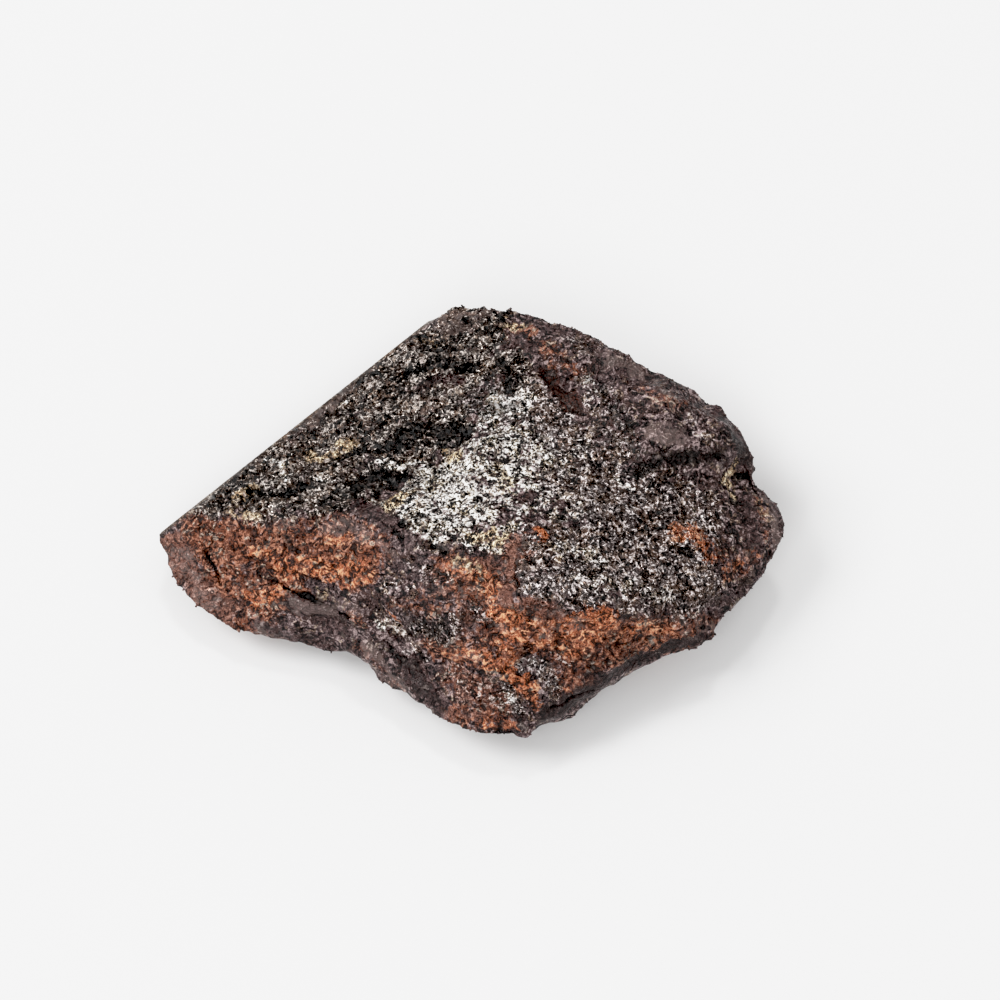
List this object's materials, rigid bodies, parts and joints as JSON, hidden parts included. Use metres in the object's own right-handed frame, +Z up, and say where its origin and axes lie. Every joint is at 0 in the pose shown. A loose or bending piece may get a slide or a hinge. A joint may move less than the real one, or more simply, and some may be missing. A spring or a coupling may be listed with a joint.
{
  "type": "meteorite",
  "caption": "Broken wedge-shaped meteorite fragment with a granular dark top, rusty front, lumpy crust ledge and one sawn flat side, resting on a worn flat underside.",
  "frame": {"origin": "under the middle of the stone, on the flat surface it rests on", "axes": "+X along the stone's length towards the blunt lumpy end, +Y towards the back, where the sawn face and the crust ledge are, +Z up"},
  "size_m": [0.0628, 0.0456, 0.0169],
  "materials": {
    "meteorite_stone": "granular dark grey-brown stone with glinting mineral grains, rust-brown and orange weathering and smooth purple-brown crust"
  },
  "bodies": {
    "root": {"meteorite": "meteorite_stone"}
  },
  "joints": []
}
